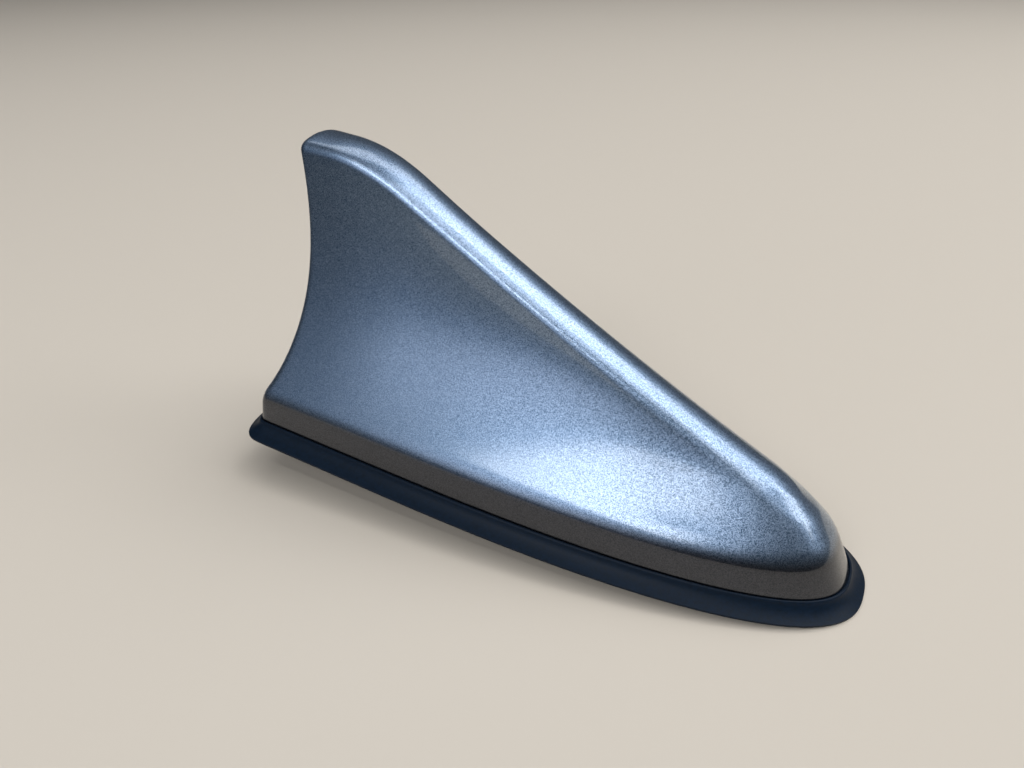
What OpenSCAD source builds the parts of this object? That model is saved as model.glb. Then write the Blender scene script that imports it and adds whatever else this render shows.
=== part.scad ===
// Shark fin roof aerial: a painted moulded fin over a die-cast base with a flared rubber gasket.
// Stations are measured rearward from the cover's nose, and heights from the roof.
// The origin is where the axis of the roof fixing meets the roof.

/* [Cover] */
// Length of the cover along its lower edge
cover_l = 160; // [145:1:175]
// Width of the cover across its lower edge
cover_w = 54; // [50:1:62]
// Distance from the nose to the station where the cover is full width
nose_l = 120; // [100:1:130]
// Fullness of the nose in plan, where 2 is an ellipse
nose_fullness = 2.6; // [2.2:0.1:3.2]
// Depth of the rounded corners at the rear
tail_l = 8; // [7:0.5:12]
// Tightness of the rear corners in plan
tail_tightness = 8; // [6:0.5:9]
// Flatness of the rear edge between its corners, where 2 is a full arc
tail_flatness = 2.5; // [2:0.1:4]
// Thickness of the moulded wall
wall = 2.2; // [1.8:0.1:2.6]
// Height of the upright skirt band
skirt_h = 8.5; // [6:0.5:10]
// How far the skirt leans in over its height
skirt_draft = 0.8; // [0.4:0.1:1.4]
// How far the nose leans back over the skirt's height
nose_rake = 4; // [2:0.5:6]
// Size of the soft crease between the skirt and the flared side
crease_round = 3; // [1:0.1:3.4]

/* [Fin] */
// Station of the front end of the ridge
ridge_front = 13; // [11:1:16]
// Height of the front end of the ridge
ridge_front_h = 20; // [18:0.5:23]
// Station of the knee between the sloping ridge and the top
knee_x = 133; // [128:1:136]
// Height of the knee
knee_h = 78.8; // [70:0.2:84]
// How far the sloping ridge sags below a straight line
ridge_sag = 2.4; // [0:0.2:4]
// Depth of the rounding at the knee
knee_blend = 6; // [3:0.5:9]
// Rise of the top towards the rear, for each millimetre of length
top_rise = 0.03; // [0:0.01:0.06]
// Station of the rear end of the ridge
ridge_rear = 153.2; // [148:0.2:156]
// Width of the sloping ridge between its shoulders
ridge_w = 13; // [11.5:0.5:15]
// Width of the top at the rear
top_w = 15.6; // [13:0.2:17]
// Crown of the ridge above its shoulders
crown_h = 2; // [1:0.1:3]
// Size of the rounding along the shoulders
shoulder_round = 2; // [1.2:0.1:2.6]
// Flare of the side at the nose, where under 1 bulges and over 1 is hollow
flare_nose = 0.8; // [0.5:0.05:1]
// Flare of the side at the front quarter
flare_front = 1.6; // [1.3:0.1:2]
// Flare of the side at the rear
flare_rear = 2.3; // [1.8:0.1:2.8]
// Depth of the waist in the trailing edge
waist = 3.7; // [1:0.2:4]

/* [Base] */
// Thickness of the gasket's pad under the base plate
pad_t = 3; // [2.5:0.1:3.5]
// Height of the gasket's rim, where the cover stands
rim_h = 4.1; // [4:0.1:5]
// How far the gasket's lip flares out past the cover
lip_out = 4.6; // [3:0.2:6]
// Thickness of the lip's edge
lip_t = 0.7; // [0.5:0.1:1.2]
// Thickness of the die-cast base plate
plate_t = 2.4; // [2:0.1:3]
// Station of the roof fixing
fixing_x = 105; // [100:1:108]
// Diameter of the fixing boss that goes through the roof
boss_d = 16; // [14:0.5:18]
// How far the boss reaches below the roof's outer face
boss_drop = 8.8; // [6:0.2:12]
// Diameter of the threaded hole up the boss
thread_d = 6.8; // [5:0.1:8.5]
// Depth of the threaded hole above the roof's outer face
thread_top = 4.6; // [3:0.1:5]

/* [Electronics] */
// Height of the pillars that carry the main board
pillar_h = 4.6; // [4:0.1:6]
// Thickness of the main board
board_t = 1.6; // [1.2:0.1:2]
// Width of the main board
board_w = 25; // [22:0.5:26]
// Side of the square ceramic patch
patch_w = 18.4; // [16:0.2:19]
// Thickness of the ceramic patch
patch_t = 4; // [3:0.5:5]
// Thickness of the upright fin board
fin_board_t = 1; // [0.8:0.1:1.6]
// Thickness of the sheet-metal aerial elements
sheet_t = 0.5; // [0.3:0.1:0.6]

/* [Hidden] */
$fn = 48;

// Clearance of a part that slides into place, and of one that stands clear
slip = 0.1;
clear = 0.3;
// Overrun of a cut past the face that it opens
cut = 1;

half_w = cover_w / 2;
tail_x = cover_l - tail_l;
crease_z = rim_h + skirt_h;
plate_top = pad_t + plate_t;
board_z = plate_top + pillar_h;
board_top = board_z + board_t;

// Counts of points along the nose, the straight side, the tail, up the side and round the edges
nose_steps = 18;
straight_steps = 6;
tail_steps = 8;
side_rows = 9;
round_rows = 3;
crown_cols = 4;

// A smooth step from 0 to 1
function smooth(t) = let (s = min(1, max(0, t))) s * s * (3 - 2 * s);
// The lower of two heights, with the corner between them rounded
function smooth_min(a, b, k) = let (h = max(k - abs(a - b), 0) / k) min(a, b) - h * h * k / 4;
// A point part way along a straight line, and along a curve from a to c that bends towards b
function between(a, b, s) = a + (b - a) * s;
function bend(a, b, c, s) = (1 - s) * (1 - s) * a + 2 * s * (1 - s) * b + s * s * c;

// Angles round the nose and the tail, which the outline and the ridge share
nose_angles = [for (i = [0:nose_steps]) 90 * pow(i / nose_steps, 1.15)];
straight_x = [for (i = [1:straight_steps]) between(nose_l, tail_x, i / straight_steps)];
tail_angles = [for (i = [1:tail_steps]) 90 * pow(i / tail_steps, 2)];

// How much the tightness of the rear corners falls with each millimetre that the outline is drawn outward
corner_easing = 0.75;
// Half of the cover's plan outline, from nose to tail, drawn in by an inset and with its nose set back
function half_outline(inset, back = 0) = let (
    w = half_w - inset,
    front = inset + back,
    p = 2 / nose_fullness,
    q = 2 / (tail_tightness + corner_easing * inset),
    r = 2 / tail_flatness
) concat(
    [for (a = nose_angles) [between(front, nose_l, 1 - pow(cos(a), p)), w * pow(sin(a), p)]],
    [for (x = straight_x) [x, w]],
    [for (a = tail_angles) [tail_x + (tail_l - inset) * pow(sin(a), q), w * pow(cos(a), r)]]
);
// Half of the outline's width at a station ahead of the tail
function outline_half(x) = half_w * pow(1 - pow(1 - min(1, x / nose_l), nose_fullness), 1 / nose_fullness);

// The whole outline as a polygon
function outline(inset, back = 0) = let (half = half_outline(inset, back)) concat(
    half, [for (i = [len(half) - 2:-1:1]) [half[i].x, -half[i].y]]
);
// The cover's inner outline at a height on the skirt, drawn in by a gap
function inner_outline(z, gap) = let (lean = (z - rim_h) / (crease_z - 0.6 * wall - rim_h))
    outline(wall + skirt_draft * lean + gap, nose_rake * lean);

// Height and half width of the ridge's shoulders at a station
function slope_h(x) = let (s = (x - ridge_front) / (knee_x - ridge_front))
    between(ridge_front_h, knee_h, s) - 4 * ridge_sag * s * (1 - s);
function ridge_h(x) = smooth_min(slope_h(x), knee_h + top_rise * (x - knee_x), knee_blend);
top_widening_l = 50;
function ridge_half(x) = let (s = (x - ridge_rear + top_widening_l) / top_widening_l)
    between(ridge_w, top_w, smooth(s)) / 2;

// Crown of the ridge above its shoulders, which fades out at both ends
crown_front_fade = 10;
crown_rear_fade = 3.5;
function crown(x, y) = crown_h * max(0, 1 - pow(y / ridge_half(x), 2))
    * (1 - pow(min(1, max(0, 1 - (x - ridge_front) / crown_front_fade)), 2))
    * (1 - pow(min(1, max(0, 1 + (x - ridge_rear) / crown_rear_fade)), 2));

// Shares of an inset by which the ridge's inner loop comes back from the nose, down and in from the side
ridge_back_share = 1.3;
ridge_drop_share = 1.12;
ridge_side_share = 0.9;
// Half of the loop along the ridge's shoulders, point for point with the outline
ridge_tail_l = 3;
ridge_nose_round = 12;
ridge_tail_power = 0.66;
function ridge_nose(x) = sqrt(1 - pow(1 - min(1, x / ridge_nose_round), 2));
function half_ridge(inset) = let (
    front = ridge_front + ridge_back_share * inset,
    bulge = max(0.4, ridge_tail_l - inset),
    rear = ridge_rear - inset - bulge,
    base = half_outline(0),
    tail_start = len(base) - tail_steps
) [for (i = [0:len(base) - 1]) i < tail_start
    ? let (x = between(front, rear, base[i].x / tail_x))
        [x, (ridge_half(x) - inset) * ridge_nose(x - front), ridge_h(x)]
    : let (a = tail_angles[i - tail_start], x = rear + bulge * pow(sin(a), ridge_tail_power))
        [x, (ridge_half(x) - inset) * pow(cos(a), ridge_tail_power), ridge_h(x)]
];

// A point a fraction v of the way up the side, from foot f to shoulder s
flare_front_x = 45;
waist_start = 100;
waist_power = 0.7;
function flare(x) = between(flare_nose, flare_front, smooth(x / flare_front_x))
    + (flare_rear - flare_front) * smooth((x - flare_front_x) / (tail_x - flare_front_x));
function side_point(f, s, v) = let (
    rise = 1 - pow(1 - v, flare(f.x)),
    upright = smooth(f.x / flare_front_x) * (1 - smooth((f.x - nose_l) / (tail_x - nose_l))),
    pull = waist * sin(180 * pow(v, waist_power)) * smooth((f.x - waist_start) / (tail_x - waist_start))
) [
    between(f.x, s.x, between(rise, v, upright)) - pull,
    between(f.y, s.y, rise),
    between(f.z, s.z, v)
];

// Half-loops from the cover's lower edge up to the crown, drawn in by an inset
function at_height(half, z) = [for (p = half) [p.x, p.y, z]];
function half_rows(inset, rows, rounds) = let (
    fold_z = crease_z - 0.6 * inset,
    ridge_drop = ridge_drop_share * inset,
    ridge_in = ridge_side_share * inset,
    edge = at_height(half_outline(inset), rim_h),
    feet = at_height(half_outline(inset + skirt_draft, nose_rake), fold_z),
    last = len(feet) - 1,
    skirt = [for (i = [0:last]) between(feet[i], edge[i], crease_round / (fold_z - rim_h))],
    tops = [for (p = half_ridge(ridge_in)) [p.x, p.y, p.z - ridge_drop]],
    inner = [for (p = half_ridge(ridge_in + shoulder_round))
        [p.x, p.y, p.z - ridge_drop + crown(p.x, p.y)]],
    low = [for (i = [0:last]) min(0.25, crease_round / (tops[i].z - fold_z))],
    high = [for (i = [0:last]) 1 - min(0.3, shoulder_round / (tops[i].z - fold_z))]
) concat(
    [edge, skirt],
    [for (k = [1:rounds]) [for (i = [0:last])
        bend(skirt[i], feet[i], side_point(feet[i], tops[i], low[i]), k / rounds)]],
    [for (k = [1:rows]) [for (i = [0:last])
        side_point(feet[i], tops[i], between(low[i], high[i], k / rows))]],
    [for (k = [1:rounds]) [for (i = [0:last])
        bend(side_point(feet[i], tops[i], high[i]), tops[i], inner[i], k / rounds)]]
);

// A whole loop from a half, and the grid of points over the crown between the halves of the top loop
function whole(half) = concat(half, [for (i = [len(half) - 2:-1:1]) [half[i].x, -half[i].y, half[i].z]]);
function crown_points(half) = [for (i = [1:len(half) - 2]) for (k = [1:crown_cols - 1])
    let (p = half[i], y = p.y * (1 - 2 * k / crown_cols)) [p.x, y, p.z + crown(p.x, y) - crown(p.x, p.y)]];

// Faces between neighbouring loops of n points, counted from a first index
function loop_faces(first, n, loops) = [for (r = [0:loops - 2]) for (i = [0:n - 1]) for (t = [0, 1])
    let (a = first + r * n + i, b = first + r * n + (i + 1) % n)
    t == 0 ? [a, b, a + n] : [b, b + n, a + n]];
// Faces of the crown over a top loop of n points whose half has h points
function crown_faces(top, grid, n, h) = let (
    at = function (i, k) i == 0 ? top : i == h - 1 ? top + h - 1
        : k == 0 ? top + i : k == crown_cols ? top + n - i : grid + (i - 1) * (crown_cols - 1) + k - 1
) [for (i = [0:h - 2]) for (k = [0:crown_cols - 1]) for (t = [0, 1])
    let (f = t == 0 ? [at(i, k), at(i + 1, k), at(i, k + 1)] : [at(i, k + 1), at(i + 1, k), at(i + 1, k + 1)])
    if (f[0] != f[1] && f[1] != f[2] && f[0] != f[2]) f];
function turned(faces) = [for (f = faces) [f[2], f[1], f[0]]];

// Points and faces of the open skin of the fin's form, drawn in by an inset
function skin_points(halves) = concat(
    [for (h = halves) each whole(h)],
    crown_points(halves[len(halves) - 1])
);
function skin_faces(halves, first) = let (
    h = len(halves[0]),
    n = 2 * h - 2,
    loops = len(halves)
) concat(loop_faces(first, n, loops), crown_faces(first + (loops - 1) * n, first + loops * n, n, h));

// A closed body of the fin's form
module fin_form(inset, rows, rounds) {
    halves = half_rows(inset, rows, rounds);
    n = 2 * len(halves[0]) - 2;
    floor = [for (i = [n - 1:-1:0]) i];
    polyhedron(skin_points(halves), concat(skin_faces(halves, 0), [floor]), convexity = 6);
}

// The moulded shell, whose outer and inner skins meet round its lower edge
module fin_shell() {
    outer = half_rows(0, side_rows, round_rows);
    inner = half_rows(wall, 7, 1);
    points = skin_points(outer);
    n = 2 * len(outer[0]) - 2;
    first = len(points);
    rim = [for (i = [0:n - 1]) for (t = [0, 1]) let (j = (i + 1) % n)
        t == 0 ? [i, first + i, j] : [j, first + i, first + j]];
    polyhedron(
        concat(points, skin_points(inner)),
        concat(skin_faces(outer, 0), turned(skin_faces(inner, first)), rim),
        convexity = 8
    );
}

// Everything below is drawn at stations from the nose and moved to the fixing's axis
module from_nose() { translate([-fixing_x, 0, 0]) children(); }
module upright(x, y, low, high, d) { translate([x, y, low]) cylinder(d = d, h = high - low); }
module taper(x, y, low, high, d_low, d_high) {
    translate([x, y, low]) cylinder(d1 = d_low, d2 = d_high, h = high - low);
}
// A block between two stations, centred on y
module block(x0, x1, width, low, high, y = 0) {
    translate([x0, y - width / 2, low]) cube([x1 - x0, width, high - low]);
}
// A flat piece between two heights, and an upright one that lies along the part's middle
module flat(points, low, high) { translate([0, 0, low]) linear_extrude(high - low) polygon(points); }
module along(points, width, y = 0) {
    translate([0, y + width / 2, 0]) rotate([90, 0, 0]) linear_extrude(width) polygon(points);
}

// Posts of the cover, and the self-tapping screws that hold it to the base plate
post_d = 5.6;
post_inset = 10.2;
cover_screw_d = 2.8;
cover_screw_hole_d = cover_screw_d + 2 * slip;
cover_screw_head_d = 5;
cover_screw_head_h = 1.3;
cover_screw_l = 8;
front_post_x = 17;
mid_post_x = 52;
rear_post_x = 98;
post_from_tail = 6;
post_x = [mid_post_x, rear_post_x, tail_x - post_from_tail];
post_places = [
    [front_post_x, 0],
    for (x = post_x, side = [-1, 1]) [x, side * (outline_half(x) - post_inset)]
];

module fin_cover() color([0.47, 0.49, 0.53]) from_nose() difference() {
    union() {
        fin_shell();
        intersection() {
            fin_form(wall / 2, 7, 1);
            for (p = post_places) upright(p.x, p.y, plate_top, knee_h, post_d);
        }
    }
    for (p = post_places)
        upright(p.x, p.y, plate_top - cut, plate_top + cover_screw_l + clear, cover_screw_hole_d);
}

// Sizes that the base pieces share
seal_w = 1.9;
seal_h = 2.2;
upstand_w = 1.6;
upstand_h = 3;
boss_root_d = boss_d + 2;
flange_d = 24;
flange_t = 2;
boss_chamfer = 0.6;
recess_t = 0.6;
recess_inset = 9;
land_w = 4;
pin_x = 62;
pin_gap = 14;
pin_d = 4;
pin_root_d = 4.8;
pin_drop = 3;
pin_tip = 0.5;
pin_collar = 3;
pin_collar_h = 2;
vent_place = [70, 9];
vent_d = 3;
membrane_d = 7;
membrane_t = 0.3;
earth_ring_d = 23;
earth_ring_t = 1;
pin_places = [for (side = [-1, 1]) [pin_x, side * pin_gap / 2]];

// The coax socket's housing, which hangs from the main board through the base
socket_from_tail = 21;
socket_x = tail_x - socket_from_tail;
socket_l = 15;
socket_w = 9;
socket_drop = 5;
socket_wall = 1.3;
socket_depth = 8;
socket_seal_w = 1;
key_w = 2;
key_h = 0.5;
module socket_block(grow, low, high) {
    block(socket_x - socket_l / 2 - grow, socket_x + socket_l / 2 + grow, socket_w + 2 * grow, low, high);
}

// The gasket's outer form: an edge, a hollow flare up to the rim, the rim's top and the pad inside it
lip_rows = 4;
lip_top_out = 0.4;
lip_bend = [lip_out / 3, rim_h / 2];
lip_profile = [
    [lip_out, 0],
    for (k = [0:lip_rows]) bend([lip_out, lip_t], lip_bend, [lip_top_out, rim_h], k / lip_rows),
    [slip - wall - clear, rim_h],
    [slip - wall - clear, pad_t]
];
module gasket_form() {
    loops = [for (p = lip_profile) at_height(outline(-p.x), p.y)];
    n = len(loops[0]);
    top = n * (len(loops) - 1);
    polyhedron(
        [for (l = loops) each l],
        concat(loop_faces(0, n, len(loops)), [[for (i = [n - 1:-1:0]) i], [for (i = [0:n - 1]) top + i]]),
        convexity = 6
    );
}

module base_gasket() color([0.05, 0.07, 0.1]) from_nose() difference() {
    gasket_form();
    difference() {
        flat(outline(recess_inset), -cut, recess_t);
        upright(fixing_x, 0, -2 * cut, recess_t + cut, earth_ring_d + 2 * land_w);
        for (p = pin_places) upright(p.x, p.y, -2 * cut, recess_t + cut, pin_root_d + 2 * land_w);
        socket_block(land_w, -2 * cut, recess_t + cut);
    }
    upright(fixing_x, 0, -cut, pad_t + cut, boss_root_d + 2 * clear);
    upright(fixing_x, 0, -cut, earth_ring_t + clear, earth_ring_d + 2 * slip);
    for (p = pin_places) upright(p.x, p.y, -cut, pad_t + cut, pin_root_d + 2 * slip);
    upright(vent_place.x, vent_place.y, -cut, pad_t + cut, vent_d);
    socket_block(clear, -cut, pad_t + cut);
}

// Pillars under the main board, and the screws into them
board_screw_d = 2;
board_screw_head_d = 4;
board_screw_head_h = 1.4;
screw_grip = 3.6;
pillar_d = 5;
screw_y = 8;
front_screw_x = 48;
holder_screw_x = 84;
rear_screw_from_tail = 14;
rear_screw_x = tail_x - rear_screw_from_tail;
board_screw_places = [for (x = [front_screw_x, rear_screw_x], side = [-1, 1]) [x, side * screw_y]];
holder_screw_places = [for (side = [-1, 1]) [holder_screw_x, side * screw_y]];
rib_w = 1.6;
rib_gap = 1.2;
pillar_places = concat(board_screw_places, holder_screw_places);

module base_plate() color([0.62, 0.63, 0.64]) from_nose() difference() {
    union() {
        flat(inner_outline(plate_top, clear), pad_t, plate_top);
        difference() {
            flat(inner_outline(plate_top + upstand_h, seal_w + 2 * slip), plate_top, plate_top + upstand_h);
            flat(inner_outline(plate_top + upstand_h, seal_w + 2 * slip + upstand_w), plate_top - cut,
                plate_top + upstand_h + cut);
        }
        for (p = pillar_places) upright(p.x, p.y, plate_top, board_z, pillar_d);
        block(pin_x, fixing_x - flange_d / 2 - clear, rib_w, plate_top, board_z - rib_gap);
        for (x = [pin_x, holder_screw_x])
            block(x - rib_w / 2, x + rib_w / 2, 2 * screw_y, plate_top, board_z - rib_gap);
        for (p = pin_places) upright(p.x, p.y, plate_top, plate_top + pin_collar_h, pin_root_d + pin_collar);
    }
    upright(fixing_x, 0, pad_t - cut, plate_top + cut, boss_root_d + slip);
    for (p = pin_places) upright(p.x, p.y, pad_t - cut, plate_top, pin_root_d + slip / 2);
    upright(vent_place.x, vent_place.y, pad_t - cut, plate_top + cut, vent_d);
    socket_block(socket_seal_w + slip, pad_t - cut, plate_top + cut);
    for (p = post_places) {
        upright(p.x, p.y, pad_t - cut, plate_top + cut, cover_screw_hole_d);
        taper(p.x, p.y, pad_t, pad_t + cover_screw_head_h, cover_screw_head_d + 2 * slip, cover_screw_hole_d);
    }
    for (p = pillar_places)
        upright(p.x, p.y, board_z - screw_grip - slip, board_z + cut, board_screw_d + slip);
}

// The threaded bush that is pressed into the base plate and goes down through the roof
module fixing_bush() color([0.7, 0.69, 0.66]) from_nose() difference() {
    union() {
        upright(fixing_x, 0, plate_top, plate_top + flange_t, flange_d);
        upright(fixing_x, 0, 0, plate_top, boss_root_d);
        upright(fixing_x, 0, boss_chamfer - boss_drop, 0, boss_d);
        taper(fixing_x, 0, -boss_drop, boss_chamfer - boss_drop, boss_d - 2 * boss_chamfer, boss_d);
    }
    upright(fixing_x, 0, -boss_drop - cut, thread_top, thread_d);
    taper(fixing_x, 0, -boss_drop, boss_chamfer - boss_drop, thread_d + 2 * boss_chamfer, thread_d);
}

module cover_seal() color([0.1, 0.1, 0.11]) from_nose() difference() {
    flat(inner_outline(plate_top + seal_h, slip), plate_top, plate_top + seal_h);
    flat(inner_outline(plate_top + upstand_h, seal_w + slip), plate_top - cut, plate_top + seal_h + cut);
}

slot_l = 2.5;
slot_depth = 0.8;
module cross_slot(x, y, low, high, size) {
    block(x - size / 2, x + size / 2, size / 5, low, high, y);
    block(x - size / 10, x + size / 10, size, low, high, y);
}
module cover_screws() color([0.72, 0.7, 0.6]) from_nose() for (p = post_places) difference() {
    union() {
        taper(p.x, p.y, pad_t + slip, pad_t + cover_screw_head_h, cover_screw_head_d, cover_screw_d);
        upright(p.x, p.y, pad_t + cover_screw_head_h, plate_top + cover_screw_l, cover_screw_d);
    }
    cross_slot(p.x, p.y, pad_t - cut, pad_t + slot_depth, slot_l);
}

module locating_pins() color([0.12, 0.12, 0.13]) from_nose() for (p = pin_places) {
    upright(p.x, p.y, 0, plate_top, pin_root_d);
    upright(p.x, p.y, pin_tip - pin_drop, 0, pin_d);
    taper(p.x, p.y, -pin_drop, pin_tip - pin_drop, pin_d - 2 * pin_tip, pin_d);
}

earth_teeth = 12;
module earth_ring() color([0.75, 0.74, 0.7]) from_nose() translate([fixing_x, 0, clear]) difference() {
    cylinder(d = earth_ring_d, h = earth_ring_t);
    translate([0, 0, -cut]) cylinder(d = boss_root_d + 2 * slip, h = earth_ring_t + 2 * cut);
    for (i = [0:earth_teeth - 1]) rotate([0, 0, 360 * i / earth_teeth])
        translate([earth_ring_d / 2 - 1, -0.6, -cut]) cube([2, 1.2, earth_ring_t + 2 * cut]);
}

module vent_membrane() color([0.92, 0.92, 0.9]) from_nose()
    upright(vent_place.x, vent_place.y, plate_top, plate_top + membrane_t, membrane_d);

// The main board, whose front is narrower to fit the nose
board_front = 25;
board_shoulder = 46;
board_from_tail = 9;
board_rear = tail_x - board_from_tail;
board_nose_w = 18;
patch_x = 35.5;
patch_tape_t = 0.8;
patch_pin_d = 1;
patch_pin_out = 0.8;
patch_pin_head_d = 2.4;
patch_pin_head_h = 0.4;
contact_d = 1.2;
contact_gap = 6.6;
contact_low = 0.4;
contact_places = [for (side = [-1, 1]) [socket_x + side * contact_gap / 2, 0]];
module main_board() color([0.07, 0.3, 0.16]) from_nose() difference() {
    flat([
        [board_front, -board_nose_w / 2], [board_shoulder, -board_w / 2], [board_rear, -board_w / 2],
        [board_rear, board_w / 2], [board_shoulder, board_w / 2], [board_front, board_nose_w / 2]
    ], board_z, board_top);
    for (p = pillar_places)
        upright(p.x, p.y, board_z - cut, board_top + cut, board_screw_d + 2 * slip);
    for (p = post_places) upright(p.x, p.y, board_z - cut, board_top + cut, post_d + 2 * clear);
    for (p = contact_places) upright(p.x, p.y, board_z - cut, board_top + cut, contact_d + 2 * slip);
    upright(patch_x, 0, board_z - cut, board_top + cut, patch_pin_d + 2 * slip);
}

// Pan-head screws that clamp from a height down into the pillars
module pan_screws(places, seat) {
    for (p = places) difference() {
        union() {
            upright(p.x, p.y, board_z - screw_grip, seat, board_screw_d);
            upright(p.x, p.y, seat, seat + board_screw_head_h, board_screw_head_d);
        }
        cross_slot(p.x, p.y, seat + board_screw_head_h - slot_depth, seat + board_screw_head_h + cut, slot_l);
    }
}
module board_screws() color([0.75, 0.75, 0.77]) from_nose() pan_screws(board_screw_places, board_top);

can_x = 51.5;
can_l = 17;
can_w = 16;
can_h = 3.6;
can_t = 0.4;
module shield_can() color([0.8, 0.8, 0.78]) from_nose() difference() {
    block(can_x, can_x + can_l, can_w, board_top, board_top + can_h);
    block(can_x + can_t, can_x + can_l - can_t, can_w - 2 * can_t, board_top - cut,
        board_top + can_h - can_t);
}

// The ceramic patch, its adhesive tape and its feed pin
module patch_slab(side, low, high, corner) {
    h = side / 2;
    c = h - corner;
    difference() {
        flat([
            [patch_x - h, -c], [patch_x - c, -h], [patch_x + c, -h], [patch_x + h, -c],
            [patch_x + h, c], [patch_x + c, h], [patch_x - c, h], [patch_x - h, c]
        ], low, high);
        upright(patch_x, 0, low - cut, high + cut, patch_pin_d + 2 * slip);
    }
}
patch_z = board_top + patch_tape_t;
patch_corner = 1.2;
tape_inset = 0.5;
module patch_tape() color([0.85, 0.84, 0.8]) from_nose()
    patch_slab(patch_w - 2 * tape_inset, board_top, patch_z, patch_corner - tape_inset);
module ceramic_patch() color([0.75, 0.66, 0.5]) from_nose()
    patch_slab(patch_w, patch_z, patch_z + patch_t, patch_corner);
module patch_pin() color([0.8, 0.8, 0.78]) from_nose() {
    upright(patch_x, 0, board_z - patch_pin_out, patch_z + patch_t, patch_pin_d);
    upright(patch_x, 0, patch_z + patch_t, patch_z + patch_t + patch_pin_head_h, patch_pin_head_d);
}

// The upright fin board and the channel that holds its lower edge
holder_x = 81;
holder_l = 53;
holder_end = holder_x + holder_l;
holder_tab_l = 6;
holder_w = 7;
holder_h = 6;
holder_tab_h = 2;
holder_window_l = 6;
holder_windows = 4;
holder_window_x = [for (i = [1:holder_windows])
    between(holder_x + holder_tab_l, holder_end, (i - 0.5) / holder_windows) - holder_window_l / 2];
slot_floor = 2;
fin_front = holder_x + 1;
fin_from_rear = 8.7;
fin_rear = ridge_rear - fin_from_rear;
fin_steps = 10;
element_clear = 2.6;
ridge_gap = ridge_drop_share * wall + element_clear;
top_plate_x = 100;
function element_h(x) = ridge_h(x) - ridge_gap;
fin_top_x = [for (i = [0:fin_steps]) between(top_plate_x, fin_rear, i / fin_steps)];
fin_low = board_top + slot_floor;
module fin_holder() color([0.16, 0.16, 0.17]) from_nose() difference() {
    union() {
        block(holder_x, holder_end, holder_w, board_top, board_top + holder_h);
        block(holder_x, holder_x + holder_tab_l, 2 * screw_y + pillar_d, board_top, board_top + holder_tab_h);
    }
    block(fin_front - slip, holder_end + cut, fin_board_t + 2 * slip, fin_low, board_top + holder_h + cut);
    for (x = holder_window_x)
        block(x, x + holder_window_l, holder_w + 2 * cut, fin_low + 1, board_top + holder_h - 1);
    for (p = holder_screw_places) upright(p.x, p.y, board_top - cut, board_top + holder_tab_h + cut,
        board_screw_d + 2 * slip);
}
module holder_screws() color([0.75, 0.75, 0.77]) from_nose()
    pan_screws(holder_screw_places, board_top + holder_tab_h);

fin_corner = 4;
fin_slots = 3;
fin_slot_l = 10;
fin_slot_h = 2;
fin_slot_up = 12;
module fin_board() color([0.1, 0.34, 0.2]) from_nose() difference() {
    along(concat(
        [[fin_front, fin_low], [fin_rear, fin_low]],
        [for (i = [fin_steps:-1:0]) [fin_top_x[i], element_h(fin_top_x[i])]],
        [[fin_front + fin_corner, element_h(fin_front + fin_corner)]],
        [[fin_front, element_h(fin_front) - fin_corner]]
    ), fin_board_t);
    for (i = [1:fin_slots])
        let (x = between(fin_front, fin_rear, i / (fin_slots + 1)), z = fin_low + fin_slot_up)
        block(x - fin_slot_l / 2, x + fin_slot_l / 2, fin_board_t + 2 * cut, z, z + fin_slot_h);
}

// The folded sheet that caps the fin board, and the foam that steadies it against the cover
top_plate_w = 8;
top_skirt = 7;
foam_x = 112;
foam_l = 16;
foam_w = 4.4;
foam_t = 3.3;
module ridge_strip(xs, low, high, width, y = 0) {
    along(concat([for (x = xs) [x, element_h(x) + low]],
        [for (i = [len(xs) - 1:-1:0]) [xs[i], element_h(xs[i]) + high]]), width, y);
}
module top_plate() color([0.78, 0.77, 0.73]) from_nose() {
    ridge_strip(fin_top_x, 0, sheet_t, top_plate_w);
    for (side = [-1, 1]) ridge_strip(fin_top_x, -top_skirt, 0, sheet_t, side * (top_plate_w - sheet_t) / 2);
}
module top_foam() color([0.2, 0.2, 0.21]) from_nose()
    ridge_strip([for (i = [0:4]) foam_x + foam_l * i / 4], sheet_t + slip, sheet_t + foam_t, foam_w);

// The loading coil on its former
coil_x = 75;
coil_h = 21.4;
coil_top = board_top + coil_h;
coil_core_d = 4.4;
coil_flange_d = 9;
coil_flange_t = 1.2;
coil_turns = 12;
coil_wire = 1.3;
module coil_former() color([0.85, 0.83, 0.76]) from_nose() {
    upright(coil_x, 0, board_top, coil_top, coil_core_d);
    upright(coil_x, 0, board_top, board_top + coil_flange_t, coil_flange_d);
    upright(coil_x, 0, coil_top - coil_flange_t, coil_top, coil_flange_d);
}
coil_inner = coil_core_d / 2 + slip;
turn_profile = coil_wire * [[0.75, 0], [1, 0.3], [1, 0.7], [0.75, 0.92]];
module coil_winding() color([0.72, 0.4, 0.2]) from_nose() translate([coil_x, 0, board_top + coil_flange_t])
    rotate_extrude() polygon(concat(
        [[coil_inner, 0]],
        [for (i = [0:coil_turns - 1]) each [for (p = turn_profile) [coil_inner + p.x, p.y + i * coil_wire]]],
        [[coil_inner, coil_turns * coil_wire - slip]]
    ));

// A bent leaf that joins the fin board to the main board
spring_l = 6;
spring_w = 2.4;
spring_t = 0.3;
spring_set_in = 1;
module contact_spring() color([0.8, 0.65, 0.35]) from_nose() translate([holder_end + 1, 0, board_top]) along([
    [0, 0], [spring_l, 0], [spring_l, slot_floor], [spring_set_in, slot_floor],
    [spring_set_in, slot_floor - spring_t], [spring_l - spring_t, slot_floor - spring_t],
    [spring_l - spring_t, spring_t], [0, spring_t]
], spring_w);

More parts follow.
